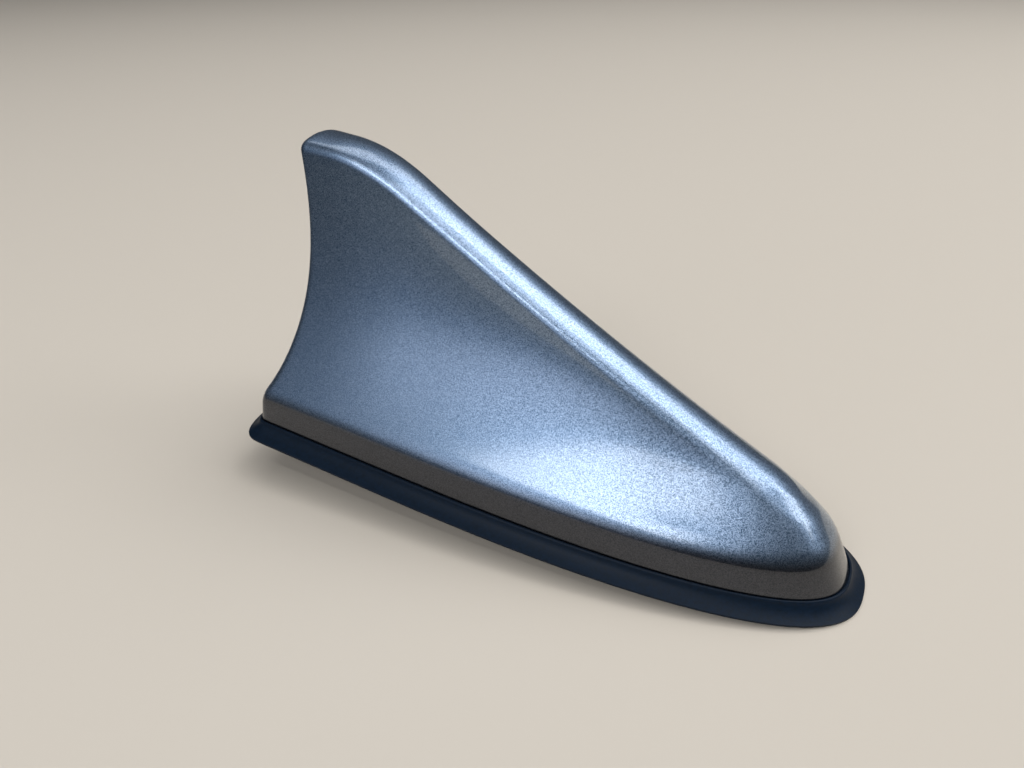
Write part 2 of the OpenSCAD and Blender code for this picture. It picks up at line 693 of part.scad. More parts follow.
// The telephone aerial: a folded and slotted sheet beside the fin board
phone_x = 91;
phone_l = 22;
phone_y = -7;
phone_foot = 3.4;
phone_h = 19.4;
phone_slope_l = 6;
phone_slope_h = 9;
phone_slot_w = 1.5;
module phone_element() color([0.78, 0.77, 0.73]) from_nose() translate([phone_x, phone_y, board_top]) {
    block(0, phone_l, phone_foot, 0, sheet_t, -phone_foot / 2);
    difference() {
        along([
            [0, 0], [phone_l, 0], [phone_l, phone_h], [phone_slope_l, phone_h], [0, phone_h - phone_slope_h]
        ], sheet_t, sheet_t / 2);
        block(phone_l / 3, phone_l / 3 + phone_slot_w, 4 * cut, phone_h / 4, phone_h + cut);
        block(phone_l * 2 / 3, phone_l * 2 / 3 + phone_slot_w, 4 * cut, phone_h / 9, phone_h * 4 / 5);
    }
}

module coax_socket() color([0.13, 0.13, 0.15]) from_nose() difference() {
    socket_block(0, -socket_drop, board_z);
    difference() {
        socket_block(-socket_wall, -socket_drop - cut, socket_depth - socket_drop);
        block(socket_x - key_w / 2, socket_x + key_w / 2, 2 * key_h, -socket_drop - 2 * cut, socket_depth,
            socket_w / 2 - socket_wall);
    }
    for (p = contact_places) upright(p.x, p.y, 0, board_z + cut, contact_d + slip);
}
module coax_contacts() color([0.85, 0.7, 0.3]) from_nose()
    for (p = contact_places) upright(p.x, p.y, contact_low, board_top - slip, contact_d);
module socket_seal() color([0.35, 0.1, 0.08]) from_nose() difference() {
    socket_block(socket_seal_w, pad_t, plate_top - slip);
    socket_block(slip, pad_t - cut, plate_top + cut);
}

fin_cover();
base_gasket();
base_plate();
fixing_bush();
cover_seal();
cover_screws();
locating_pins();
earth_ring();
vent_membrane();
main_board();
board_screws();
shield_can();
patch_tape();
ceramic_patch();
patch_pin();
fin_holder();
holder_screws();
fin_board();
top_plate();
top_foam();
coil_former();
coil_winding();
contact_spring();
phone_element();
coax_socket();
coax_contacts();
socket_seal();
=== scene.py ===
"""Shark fin roof aerial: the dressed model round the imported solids, in the row frame.

Lengths in the classes are millimetres, as in the part's source, and one function turns them to metres.
Stations are measured rearward from the cover's nose, and heights from the roof.
"""

import logging
import math
from dataclasses import dataclass, field
from enum import Enum
from typing import Iterable, Sequence

import bmesh
import bpy
from mathutils import Matrix, Vector
from mathutils.bvhtree import BVHTree


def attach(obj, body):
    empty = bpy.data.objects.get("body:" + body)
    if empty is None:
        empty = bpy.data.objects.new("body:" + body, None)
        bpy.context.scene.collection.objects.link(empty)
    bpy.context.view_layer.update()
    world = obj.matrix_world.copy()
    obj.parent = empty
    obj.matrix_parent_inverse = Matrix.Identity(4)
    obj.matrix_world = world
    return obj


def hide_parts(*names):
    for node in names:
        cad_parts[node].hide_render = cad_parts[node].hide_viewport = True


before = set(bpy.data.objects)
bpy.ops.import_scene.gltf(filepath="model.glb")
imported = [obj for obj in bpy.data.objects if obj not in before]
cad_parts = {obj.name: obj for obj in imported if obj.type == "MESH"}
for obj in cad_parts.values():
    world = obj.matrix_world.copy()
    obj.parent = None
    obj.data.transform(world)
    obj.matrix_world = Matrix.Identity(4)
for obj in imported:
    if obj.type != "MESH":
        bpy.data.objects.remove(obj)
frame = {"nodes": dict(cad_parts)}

LOG = logging.getLogger("roof_aerial")
MM = 0.001
ROOT_BODY = "root"
CUTTER_SHARP_DEG = 30.0

Point2 = tuple[float, float]
Point3 = tuple[float, float, float]


def smooth_step(t: float) -> float:
    """Gives a smooth step from 0 to 1."""
    s = min(1.0, max(0.0, t))
    return s * s * (3.0 - 2.0 * s)


def between(a: float, b: float, s: float) -> float:
    """Gives the number a fraction s of the way from a to b."""
    return a + (b - a) * s


def smooth_min(a: float, b: float, k: float) -> float:
    """Gives the lower of two heights, with the corner between them rounded over k."""
    h = max(k - abs(a - b), 0.0) / k
    return min(a, b) - h * h * k / 4.0


def bend(a: Vector, b: Vector, c: Vector, s: float) -> Vector:
    """Gives a point on the curve from a to c that bends towards b."""
    return (1 - s) ** 2 * a + 2 * s * (1 - s) * b + s * s * c


def steps(count: int) -> list[float]:
    """Gives count even fractions that end at 1."""
    return [k / count for k in range(1, count + 1)]


def cosine(angle: float) -> float:
    """Gives the cosine of an angle of up to a quarter turn, never below 0."""
    return max(0.0, math.cos(angle))


# Shape of the cover


@dataclass(frozen=True)
class FinForm:
    """The lofted form of the cover, from the same dimensions as the part's source.

    Loops run round the plan outline from the nose to the tail and back, and climb from the cover's
    lower edge over the skirt, the crease and the hollow side to the crowned ridge.
    """

    fixing_x: float = 105.0
    cover_l: float = 160.0
    cover_w: float = 54.0
    nose_l: float = 120.0
    nose_fullness: float = 2.6
    tail_l: float = 8.0
    tail_tightness: float = 8.0
    tail_flatness: float = 2.5
    corner_easing: float = 0.75
    nose_spacing: float = 1.15
    wall: float = 2.2
    rim_h: float = 4.1
    skirt_h: float = 8.5
    skirt_draft: float = 0.8
    nose_rake: float = 4.0
    crease_round: float = 3.0
    crease_drop_share: float = 0.6
    crease_side_share: float = 0.25
    ridge_front: float = 13.0
    ridge_front_h: float = 20.0
    knee_x: float = 133.0
    knee_h: float = 78.8
    ridge_sag: float = 2.4
    knee_blend: float = 6.0
    top_rise: float = 0.03
    ridge_rear: float = 153.2
    ridge_w: float = 13.0
    top_w: float = 15.6
    top_widening_l: float = 50.0
    crown_h: float = 2.0
    crown_front_fade: float = 10.0
    crown_rear_fade: float = 3.5
    shoulder_round: float = 2.0
    shoulder_side_share: float = 0.3
    ridge_back_share: float = 1.3
    ridge_drop_share: float = 1.12
    ridge_side_share: float = 0.9
    ridge_tail_l: float = 3.0
    least_tail_l: float = 0.4
    ridge_tail_power: float = 0.66
    ridge_nose_round: float = 12.0
    flare_nose: float = 0.8
    flare_front: float = 1.6
    flare_rear: float = 2.3
    flare_front_x: float = 45.0
    waist: float = 3.7
    waist_start: float = 100.0
    waist_power: float = 0.7
    nose_steps: int = 56
    straight_steps: int = 22
    tail_steps: int = 16
    skirt_rows: int = 4
    side_rows: int = 34
    round_rows: int = 7
    edge_rows: int = 3
    crown_cols: int = 12

    @property
    def tail_x(self) -> float:
        """Station where the rear corners begin."""
        return self.cover_l - self.tail_l

    @property
    def crease_z(self) -> float:
        """Height of the crease above the skirt."""
        return self.rim_h + self.skirt_h

    def nose_angles(self) -> list[float]:
        """Gives the angles round the nose, in radians."""
        shares = [i / self.nose_steps for i in range(self.nose_steps + 1)]
        return [math.pi / 2 * share**self.nose_spacing for share in shares]

    def tail_angles(self) -> list[float]:
        """Gives the angles round a rear corner, in radians."""
        return [math.pi / 2 * s * s for s in steps(self.tail_steps)]

    def half_outline(self, inset: float, back: float = 0.0) -> list[Point2]:
        """Gives half of the plan outline, from nose to tail.

        Args:
            inset: How far the outline is drawn in.
            back: How much further its nose is set back.

        Returns:
            The outline's points on the side of positive y.
        """
        w = self.cover_w / 2 - inset
        front = inset + back
        p = 2 / self.nose_fullness
        q = 2 / (self.tail_tightness + self.corner_easing * inset)
        r = 2 / self.tail_flatness
        points = [
            (between(front, self.nose_l, 1 - cosine(a) ** p), w * math.sin(a) ** p)
            for a in self.nose_angles()
        ]
        points += [(between(self.nose_l, self.tail_x, s), w) for s in steps(self.straight_steps)]
        points += [
            (self.tail_x + (self.tail_l - inset) * math.sin(a) ** q, w * cosine(a) ** r)
            for a in self.tail_angles()
        ]
        points[-1] = (points[-1][0], 0.0)
        return points

    def outline_half(self, x: float) -> float:
        """Gives half of the outline's width at a station ahead of the tail."""
        s = 1 - min(1.0, x / self.nose_l)
        return self.cover_w / 2 * (1 - s**self.nose_fullness) ** (1 / self.nose_fullness)

    def ridge_h(self, x: float) -> float:
        """Gives the height of the ridge's shoulders at a station."""
        s = (x - self.ridge_front) / (self.knee_x - self.ridge_front)
        slope = between(self.ridge_front_h, self.knee_h, s) - 4 * self.ridge_sag * s * (1 - s)
        return smooth_min(slope, self.knee_h + self.top_rise * (x - self.knee_x), self.knee_blend)

    def ridge_half(self, x: float) -> float:
        """Gives half of the ridge's width at a station."""
        s = (x - self.ridge_rear + self.top_widening_l) / self.top_widening_l
        return between(self.ridge_w, self.top_w, smooth_step(s)) / 2

    def crown(self, x: float, y: float) -> float:
        """Gives the height of the crown above the shoulders at a place on the ridge."""
        front = min(1.0, max(0.0, 1 - (x - self.ridge_front) / self.crown_front_fade))
        rear = min(1.0, max(0.0, 1 + (x - self.ridge_rear) / self.crown_rear_fade))
        across = max(0.0, 1 - (y / self.ridge_half(x)) ** 2)
        return self.crown_h * across * (1 - front**2) * (1 - rear**2)

    def half_ridge(self, inset: float) -> list[Vector]:
        """Gives half of the loop along the ridge's shoulders, point for point with the outline."""
        front = self.ridge_front + self.ridge_back_share * inset
        bulge = max(self.least_tail_l, self.ridge_tail_l - inset)
        rear = self.ridge_rear - inset - bulge
        base = self.half_outline(0.0)
        tail_start = len(base) - self.tail_steps
        loop = []
        for x0, _ in base[:tail_start]:
            x = between(front, rear, x0 / self.tail_x)
            turn = math.sqrt(max(0.0, 1 - (1 - min(1.0, (x - front) / self.ridge_nose_round)) ** 2))
            loop.append(Vector((x, (self.ridge_half(x) - inset) * turn, self.ridge_h(x))))
        for a in self.tail_angles():
            x = rear + bulge * math.sin(a) ** self.ridge_tail_power
            y = (self.ridge_half(x) - inset) * cosine(a) ** self.ridge_tail_power
            loop.append(Vector((x, y, self.ridge_h(x))))
        loop[-1].y = 0.0
        return loop

    def flare(self, x: float) -> float:
        """Gives the power of the side's hollow at a station."""
        front = between(self.flare_nose, self.flare_front, smooth_step(x / self.flare_front_x))
        along = smooth_step((x - self.flare_front_x) / (self.tail_x - self.flare_front_x))
        return front + (self.flare_rear - self.flare_front) * along

    def side_point(self, foot: Vector, shoulder: Vector, v: float) -> Vector:
        """Gives a point on the side.

        Args:
            foot: The side's lowest point, on the crease.
            shoulder: Its highest point, on the ridge's shoulder.
            v: How far up the point is, from 0 to 1.

        Returns:
            The point.
        """
        rise = 1 - (1 - v) ** self.flare(foot.x)
        rear = smooth_step((foot.x - self.nose_l) / (self.tail_x - self.nose_l))
        upright = smooth_step(foot.x / self.flare_front_x) * (1 - rear)
        pulled = smooth_step((foot.x - self.waist_start) / (self.tail_x - self.waist_start))
        pull = self.waist * math.sin(math.pi * v**self.waist_power) * pulled
        return Vector((
            between(foot.x, shoulder.x, between(rise, v, upright)) - pull,
            between(foot.y, shoulder.y, rise),
            between(foot.z, shoulder.z, v),
        ))

    def half_rows(self, inset: float, edge_round: float) -> list[list[Vector]]:
        """Gives the half-loops from the cover's lower edge up to the crown.

        Args:
            inset: How far the form is drawn in, 0 for the outside and the wall for the inside.
            edge_round: Radius of the lower edge, or 0 for a square one.

        Returns:
            One list of points for each loop.
        """
        fold_z = self.crease_z - self.crease_drop_share * inset
        drop, drawn_in = self.ridge_drop_share * inset, self.ridge_side_share * inset
        edge = [Vector((x, y, self.rim_h)) for x, y in self.half_outline(inset)]
        feet = [
            Vector((x, y, fold_z))
            for x, y in self.half_outline(inset + self.skirt_draft, self.nose_rake)
        ]
        skirt_end = self.crease_round / (fold_z - self.rim_h)
        skirt = [feet[i].lerp(edge[i], skirt_end) for i in range(len(feet))]
        tops = [p - Vector((0, 0, drop)) for p in self.half_ridge(drawn_in)]
        inner = [
            p + Vector((0, 0, self.crown(p.x, p.y) - drop))
            for p in self.half_ridge(drawn_in + self.shoulder_round)
        ]
        low = [min(self.crease_side_share, self.crease_round / (t.z - fold_z)) for t in tops]
        high = [1 - min(self.shoulder_side_share, self.shoulder_round / (t.z - fold_z)) for t in tops]
        count = range(len(feet))
        rows = []
        if edge_round:
            under = [Vector((x, y, self.rim_h)) for x, y in self.half_outline(inset + edge_round)]
            above = [edge[i].lerp(feet[i], edge_round / self.skirt_h) for i in count]
            rows.append(under)
            rows += [
                [bend(under[i], edge[i], above[i], s) for i in count] for s in steps(self.edge_rows)
            ]
            edge = above
        else:
            rows.append(edge)
        rows += [[edge[i].lerp(skirt[i], s) for i in count] for s in steps(self.skirt_rows)]
        rows += [
            [bend(skirt[i], feet[i], self.side_point(feet[i], tops[i], low[i]), s) for i in count]
            for s in steps(self.round_rows)
        ]
        rows += [
            [self.side_point(feet[i], tops[i], between(low[i], high[i], s)) for i in count]
            for s in steps(self.side_rows)
        ]
        rows += [
            [bend(self.side_point(feet[i], tops[i], high[i]), tops[i], inner[i], s) for i in count]
            for s in steps(self.round_rows)
        ]
        return rows

    def to_row(self, p: Sequence[float]) -> Vector:
        """Turns a place in stations and millimetres into the row frame, in metres."""
        return Vector(((p[0] - self.fixing_x) * MM, p[1] * MM, p[2] * MM))


class LoopSkin:
    """Builds skins of quads from closed loops of points, in one bmesh."""

    def __init__(self, form: FinForm) -> None:
        """Starts an empty mesh.

        Args:
            form: Turns stations into the row frame.
        """
        self.form = form
        self.mesh = bmesh.new()

    def loop(self, half: Sequence[Sequence[float]]) -> list[bmesh.types.BMVert]:
        """Adds a whole loop from its half, mirrored over the middle."""
        mirrored = [(p[0], -p[1], p[2]) for p in half[-2:0:-1]]
        return [self.mesh.verts.new(self.form.to_row(p)) for p in [*half, *mirrored]]

    def wall(self, lower: list[bmesh.types.BMVert], upper: list[bmesh.types.BMVert]) -> None:
        """Joins two loops with quads that face outward when the second is above the first."""
        n = len(lower)
        for i in range(n):
            j = (i + 1) % n
            self.mesh.faces.new((lower[i], upper[i], upper[j], lower[j]))

    def crown(self, top: list[bmesh.types.BMVert], half: list[Vector], columns: int) -> None:
        """Closes the top loop with a crowned grid.

        Args:
            top: The highest loop's vertices.
            half: That loop's half, in stations.
            columns: Number of quads across the ridge.
        """
        last = len(half) - 1
        grid = {}
        for i in range(1, last):
            grid[i, 0], grid[i, columns] = top[i], top[-i]
            for k in range(1, columns):
                x, y = half[i].x, half[i].y * (1 - 2 * k / columns)
                z = half[i].z + self.form.crown(x, y) - self.form.crown(x, half[i].y)
                grid[i, k] = self.mesh.verts.new(self.form.to_row((x, y, z)))
        for k in range(columns):
            self.mesh.faces.new((top[0], grid[1, k + 1], grid[1, k]))
            self.mesh.faces.new((top[last], grid[last - 1, k], grid[last - 1, k + 1]))
            for i in range(1, last - 1):
                corners = (grid[i, k], grid[i, k + 1], grid[i + 1, k + 1], grid[i + 1, k])
                self.mesh.faces.new(corners)

    def finish(self, name: str, sharp_deg: float) -> bpy.types.Object:
        """Turns the mesh into an object with smooth faces and sharp edges over an angle."""
        bmesh.ops.recalc_face_normals(self.mesh, faces=self.mesh.faces)
        return show(name, self.mesh, sharp_deg)


def smooth(data: bpy.types.Mesh, sharp_deg: float) -> None:
    """Smooths a mesh's faces and keeps the edges over an angle sharp."""
    data.polygons.foreach_set("use_smooth", [True] * len(data.polygons))
    data.set_sharp_from_angle(angle=math.radians(sharp_deg))


def show(name: str, mesh: bmesh.types.BMesh, sharp_deg: float) -> bpy.types.Object:
    """Links a mesh as a smooth object.

    Args:
        name: Name of the piece.
        mesh: Its mesh, which is freed.
        sharp_deg: Angle in degrees over which an edge stays sharp.

    Returns:
        The object.
    """
    data = bpy.data.meshes.new(name)
    mesh.to_mesh(data)
    mesh.free()
    smooth(data, sharp_deg)
    piece = bpy.data.objects.new(name, data)
    bpy.context.scene.collection.objects.link(piece)
    return piece


# Finishes


def linear(hex_colour: str) -> tuple[float, float, float, float]:
    """Turns an sRGB colour such as #8090a0 into linear red, green, blue and alpha."""
    values = [int(hex_colour[i : i + 2], 16) / 255 for i in (1, 3, 5)]
    channels = [v / 12.92 if v <= 0.04045 else ((v + 0.055) / 1.055) ** 2.4 for v in values]
    return (*channels, 1.0)


def new_tree(owner: bpy.types.Material | bpy.types.World | bpy.types.Light) -> bpy.types.NodeTree:
    """Gives the empty node tree of a material, world or lamp."""
    owner.use_nodes = True
    owner.node_tree.nodes.clear()
    return owner.node_tree


def ease(
    tree: bpy.types.NodeTree, value: bpy.types.NodeSocket, span: Point2, ends: Point2 = (0.0, 1.0)
) -> bpy.types.NodeSocket:
    """Adds a smooth step from one end value to the other while an input crosses a span."""
    settings = {"interpolation_type": "SMOOTHSTEP", "From Min": span[0], "From Max": span[1]}
    settings |= {"To Min": ends[0], "To Max": ends[1]}
    return add_node(tree, "ShaderNodeMapRange", settings, {"Value": value}).outputs[0]


def add_node(
    tree: bpy.types.NodeTree, kind: str, settings: dict | None = None, links: dict | None = None
) -> bpy.types.Node:
    """Adds a shader node.

    Args:
        tree: The material's node tree.
        kind: Blender's name of the node's type.
        settings: Values by name of an attribute, or of an input where no attribute has that name.
        links: Output sockets by name or number of the input that they go to.

    Returns:
        The node.
    """
    node = tree.nodes.new(kind)
    for name, value in (settings or {}).items():
        if isinstance(name, str) and hasattr(node, name):
            setattr(node, name, value)
        else:
            node.inputs[name].default_value = value
    for name, socket in (links or {}).items():
        tree.links.new(socket, node.inputs[name])
    return node


class Grain(Enum):
    """How a finish breaks up its surface."""

    MOULDED = "moulded"
    CAST = "cast"
    TURNED = "turned"
    PLATED = "plated"
    LAMINATE = "laminate"
    FOAM = "foam"


# Settings of the grains' patterns
NOISE_DETAIL = {Grain.MOULDED: 3.0, Grain.CAST: 8.0, Grain.PLATED: 2.0}
NOISE_ROUGHNESS = 0.6
NOISE_SPAN = (0.3, 0.7)
RING_SPACING = 6
RING_WOBBLE = 1.5
WEAVE_GAP = 0.06
WEAVE_SOFTNESS = 0.6
WEAVE_OFFSET = 0.5


@dataclass(frozen=True)
class Finish:
    """A surface finish, made as a material of procedural nodes.

    Attributes:
        name: What the material is.
        colour: Its main colour.
        shade: The colour that its grain mixes in.
        grain: How its surface is broken up.
        grain_mm: Size of the grain.
        relief_mm: Height of the grain.
        metallic: 0 for a dielectric and 1 for a metal.
        roughness: Roughness at the smoothest places.
        roughness_span: How much rougher the grain makes it.
        ior: Index of refraction.
        specular: Strength of a dielectric's reflections, 0.5 for a clean surface.
    """

    name: str
    colour: str
    shade: str
    grain: Grain
    grain_mm: float
    relief_mm: float
    metallic: float = 0.0
    roughness: float = 0.5
    roughness_span: float = 0.1
    ior: float = 1.5
    specular: float = 0.5

    def material(self) -> bpy.types.Material:
        """Makes the material."""
        made = bpy.data.materials.new(self.name)
        tree = new_tree(made)
        place = add_node(tree, "ShaderNodeTexCoord").outputs["Object"]
        pattern, height = self.pattern(tree, place)
        colour = add_node(
            tree, "ShaderNodeMix",
            {"data_type": "RGBA", 6: linear(self.colour), 7: linear(self.shade)},
            {0: pattern},
        )
        rough = add_node(
            tree, "ShaderNodeMapRange",
            {"To Min": self.roughness, "To Max": self.roughness + self.roughness_span},
            {"Value": pattern},
        )
        bump = add_node(
            tree, "ShaderNodeBump", {"Strength": 1.0, "Distance": self.relief_mm * MM},
            {"Height": height},
        )
        surface = add_node(
            tree, "ShaderNodeBsdfPrincipled",
            {"Metallic": self.metallic, "IOR": self.ior, "Specular IOR Level": self.specular},
            {
                "Base Color": colour.outputs[2],
                "Roughness": rough.outputs[0],
                "Normal": bump.outputs[0],
            },
        )
        add_node(tree, "ShaderNodeOutputMaterial", {}, {"Surface": surface.outputs[0]})
        return made

    def pattern(
        self, tree: bpy.types.NodeTree, place: bpy.types.NodeSocket
    ) -> tuple[bpy.types.NodeSocket, bpy.types.NodeSocket]:
        """Adds the grain.

        Args:
            tree: The material's node tree.
            place: The socket of the place on the piece, in metres.

        Returns:
            The sockets of the colour's mix and of the relief's height.
        """
        scale = 1 / (self.grain_mm * MM)
        if self.grain is Grain.TURNED:
            rings = add_node(
                tree, "ShaderNodeTexWave",
                {
                    "wave_type": "RINGS",
                    "rings_direction": "Z",
                    "Scale": scale / RING_SPACING,
                    "Distortion": RING_WOBBLE,
                },
                {"Vector": place},
            )
            return rings.outputs[1], rings.outputs[1]
        if self.grain is Grain.LAMINATE:
            weave = add_node(
                tree, "ShaderNodeTexBrick",
                {
                    "Scale": scale,
                    "Mortar Size": WEAVE_GAP,
                    "Mortar Smooth": WEAVE_SOFTNESS,
                    "offset": WEAVE_OFFSET,
                },
                {"Vector": place},
            )
            return weave.outputs[1], weave.outputs[1]
        if self.grain is Grain.FOAM:
            cells = add_node(tree, "ShaderNodeTexVoronoi", {"Scale": scale}, {"Vector": place})
            return cells.outputs[0], cells.outputs[0]
        noise = add_node(
            tree, "ShaderNodeTexNoise",
            {"Scale": scale, "Detail": NOISE_DETAIL[self.grain], "Roughness": NOISE_ROUGHNESS},
            {"Vector": place},
        )
        ramp = add_node(
            tree, "ShaderNodeMapRange", {"From Min": NOISE_SPAN[0], "From Max": NOISE_SPAN[1]},
            {"Value": noise.outputs[0]},
        )
        return ramp.outputs[0], ramp.outputs[0]


@dataclass(frozen=True)
class MetallicPaint:
    """Sprayed metallic paint under clear lacquer.

    Aluminium flakes lie nearly flat in a tinted base, each tipped its own way, so they sparkle and
    spread the highlight. Real flakes are about 0.03 mm, too fine to show, so they are drawn 0.17 mm
    across. The lacquer over them is smooth, with a faint orange peel. Below the crease the colour is
    multiplied by a darker, browner tone, a painted shade and painted reflection of the shaded floor.
    """

    name: str = "metallic_paint_under_lacquer"
    flake_light: str = "#9aaec7"
    flake_dark: str = "#465d75"
    flake_mm: float = 0.17
    flake_tilt: float = 0.045
    # Painted shade: the skirt's darker, browner tone and the heights where it fades in stand in for
    # its reflection of the shaded floor
    skirt_painted_shade: str = "#786c68"
    painted_shade_z: Point2 = (11.0, 14.7)
    metallic: float = 1.0
    roughness: float = 0.37
    lacquer_ior: float = 1.5
    lacquer_roughness: float = 0.05
    peel_mm: float = 2.5
    peel_relief_mm: float = 0.004

    def material(self) -> bpy.types.Material:
        """Makes the material."""
        made = bpy.data.materials.new(self.name)
        tree = new_tree(made)
        place = add_node(tree, "ShaderNodeTexCoord").outputs["Object"]
        flakes = add_node(
            tree, "ShaderNodeTexVoronoi", {"Scale": 1 / (self.flake_mm * MM)}, {"Vector": place}
        )
        chance = add_node(tree, "ShaderNodeSeparateColor", {}, {0: flakes.outputs["Color"]})
        colour = add_node(
            tree, "ShaderNodeMix",
            {"data_type": "RGBA", 6: linear(self.flake_dark), 7: linear(self.flake_light)},
            {0: chance.outputs[0]},
        )
        height = add_node(tree, "ShaderNodeSeparateXYZ", {}, {0: place}).outputs[2]
        # Painted shade: below the crease the flakes' colour is multiplied by the skirt's darker,
        # browner tone
        below = ease(tree, height, (self.painted_shade_z[1] * MM, self.painted_shade_z[0] * MM))
        painted_shade_mix = add_node(
            tree, "ShaderNodeMix",
            {"data_type": "RGBA", "blend_type": "MULTIPLY", 7: linear(self.skirt_painted_shade)},
            {0: below, 6: colour.outputs[2]},
        )
        lean = add_node(
            tree, "ShaderNodeVectorMath", {"operation": "SUBTRACT", 1: (0.5, 0.5, 0.5)},
            {0: flakes.outputs["Color"]},
        )
        lean = add_node(
            tree, "ShaderNodeVectorMath", {"operation": "SCALE", "Scale": 2 * self.flake_tilt},
            {0: lean.outputs[0]},
        )
        normal = add_node(tree, "ShaderNodeNewGeometry").outputs["Normal"]
        tipped = add_node(
            tree, "ShaderNodeVectorMath", {"operation": "ADD"}, {0: lean.outputs[0], 1: normal}
        )
        tipped = add_node(
            tree, "ShaderNodeVectorMath", {"operation": "NORMALIZE"}, {0: tipped.outputs[0]}
        )
        peel = add_node(
            tree, "ShaderNodeTexNoise", {"Scale": 1 / (self.peel_mm * MM), "Detail": 1.0},
            {"Vector": place},
        )
        lacquer = add_node(
            tree, "ShaderNodeBump", {"Strength": 1.0, "Distance": self.peel_relief_mm * MM},
            {"Height": peel.outputs[0]},
        )
        surface = add_node(
            tree, "ShaderNodeBsdfPrincipled",
            {
                "Metallic": self.metallic,
                "Roughness": self.roughness,
                "Coat Weight": 1.0,
                "Coat Roughness": self.lacquer_roughness,
                "Coat IOR": self.lacquer_ior,
            },
            {
                "Base Color": painted_shade_mix.outputs[2],
                "Normal": tipped.outputs[0],
                "Coat Normal": lacquer.outputs[0],
            },
        )
        add_node(tree, "ShaderNodeOutputMaterial", {}, {"Surface": surface.outputs[0]})
        return made


# Moulded EPDM, dark blue-black with a satin skin from a spark-eroded mould
GASKET_RUBBER = Finish(
    "moulded_epdm_rubber", "#06131f", "#091a2b", Grain.MOULDED, 0.9, 0.012,
    roughness=0.42, ior=1.52, specular=0.12,
)
# Aluminium die casting, dull with fine flow marks
DIE_CASTING = Finish(
    "die_cast_aluminium", "#b4b5b6", "#97989a", Grain.CAST, 2.2, 0.03, 1.0, 0.46, 0.14
)
# Turned free-cutting steel with bright zinc, its tool marks in rings
TURNED_BUSH = Finish(
    "turned_zinc_steel", "#c4c2bc", "#aeaca6", Grain.TURNED, 0.25, 0.004, 1.0, 0.28, 0.1
)
# Soft black rubber cord
SEAL_CORD = Finish(
    "seal_epdm", "#17181a", "#222326", Grain.MOULDED, 1.2, 0.01, roughness=0.55, ior=1.52
)
# Yellow zinc passivation with a slight bloom
YELLOW_ZINC = Finish(
    "yellow_zinc_steel", "#c9bd8e", "#b3a878", Grain.PLATED, 0.8, 0.003, 1.0, 0.3, 0.12
)
# Glass-filled nylon, black with a fine eroded texture
BLACK_NYLON = Finish(
    "black_nylon", "#17181a", "#232427", Grain.MOULDED, 0.35, 0.008, roughness=0.5, ior=1.53
)
# Spring steel, bright tin plate
SPRING_STEEL = Finish(
    "tinned_spring_steel", "#c6c3ba", "#b0ada4", Grain.PLATED, 1.1, 0.002, 1.0, 0.26, 0.12
)
# Stretched fluoropolymer film, white and matt
VENT_FILM = Finish(
    "expanded_ptfe_film", "#e8e8e4", "#d9d9d4", Grain.MOULDED, 0.3, 0.01, roughness=0.7, ior=1.35
)
# Glass laminate under green solder mask, the weave just showing
LAMINATE = Finish(
    "glass_laminate_mask", "#14502f", "#1b6139", Grain.LAMINATE, 0.9, 0.004, roughness=0.3, ior=1.5
)
# Bright zinc on small screws
BRIGHT_ZINC = Finish(
    "bright_zinc_steel", "#c9c9cb", "#b2b3b6", Grain.PLATED, 0.6, 0.003, 1.0, 0.25, 0.12
)
# Tin plate, soft and slightly clouded
TIN_PLATE = Finish("tin_plate", "#cfcdc6", "#bab8b0", Grain.PLATED, 2.4, 0.002, 1.0, 0.24, 0.16)
# Acrylic foam tape
FOAM_TAPE = Finish(
    "acrylic_foam_tape", "#dcd9cf", "#cbc8bd", Grain.FOAM, 0.4, 0.02, roughness=0.65, ior=1.49
)
# Fired dielectric ceramic, unglazed
CERAMIC = Finish(
    "fired_ceramic", "#b8a078", "#a78f69", Grain.CAST, 0.8, 0.006, roughness=0.42, ior=1.7
)
# Open cell polyurethane foam
OPEN_FOAM = Finish(
    "open_cell_foam", "#2a2a2c", "#3a3a3d", Grain.FOAM, 0.5, 0.08, roughness=0.9, ior=1.45
)
# Natural nylon, milky
NATURAL_NYLON = Finish(
    "natural_nylon", "#dcd7c6", "#cdc8b6", Grain.MOULDED, 0.6, 0.005, roughness=0.4, ior=1.53
)
# Copper wire under clear enamel
ENAMELLED_COPPER = Finish(
    "enamelled_copper", "#b0653c", "#954f2c", Grain.PLATED, 0.7, 0.002, 1.0, 0.22, 0.1
)
# Gold flashed bronze
GOLD_FLASH = Finish(
    "gold_flashed_bronze", "#d9b65c", "#c8a34a", Grain.PLATED, 0.8, 0.002, 1.0, 0.2, 0.1
)
# Silicone seal, red brown
RED_SILICONE = Finish(
    "red_silicone", "#6e2a22", "#7d352b", Grain.MOULDED, 0.5, 0.005, roughness=0.5, ior=1.41
)

NODE_FINISHES: dict[str, Finish] = {
    "base_plate": DIE_CASTING,
    "fixing_bush": TURNED_BUSH,
    "cover_seal": SEAL_CORD,
    "cover_screws": YELLOW_ZINC,
    "locating_pins": BLACK_NYLON,
    "earth_ring": SPRING_STEEL,
    "vent_membrane": VENT_FILM,
    "main_board": LAMINATE,
    "board_screws": BRIGHT_ZINC,
    "shield_can": TIN_PLATE,
    "patch_tape": FOAM_TAPE,
    "ceramic_patch": CERAMIC,
    "patch_pin": TIN_PLATE,
    "fin_holder": BLACK_NYLON,
    "holder_screws": BRIGHT_ZINC,
    "fin_board": LAMINATE,
    "top_plate": TIN_PLATE,
    "top_foam": OPEN_FOAM,
    "coil_former": NATURAL_NYLON,
    "coil_winding": ENAMELLED_COPPER,
    "contact_spring": GOLD_FLASH,
    "phone_element": TIN_PLATE,
    "coax_socket": BLACK_NYLON,
    "coax_contacts": GOLD_FLASH,
    "socket_seal": RED_SILICONE,
}


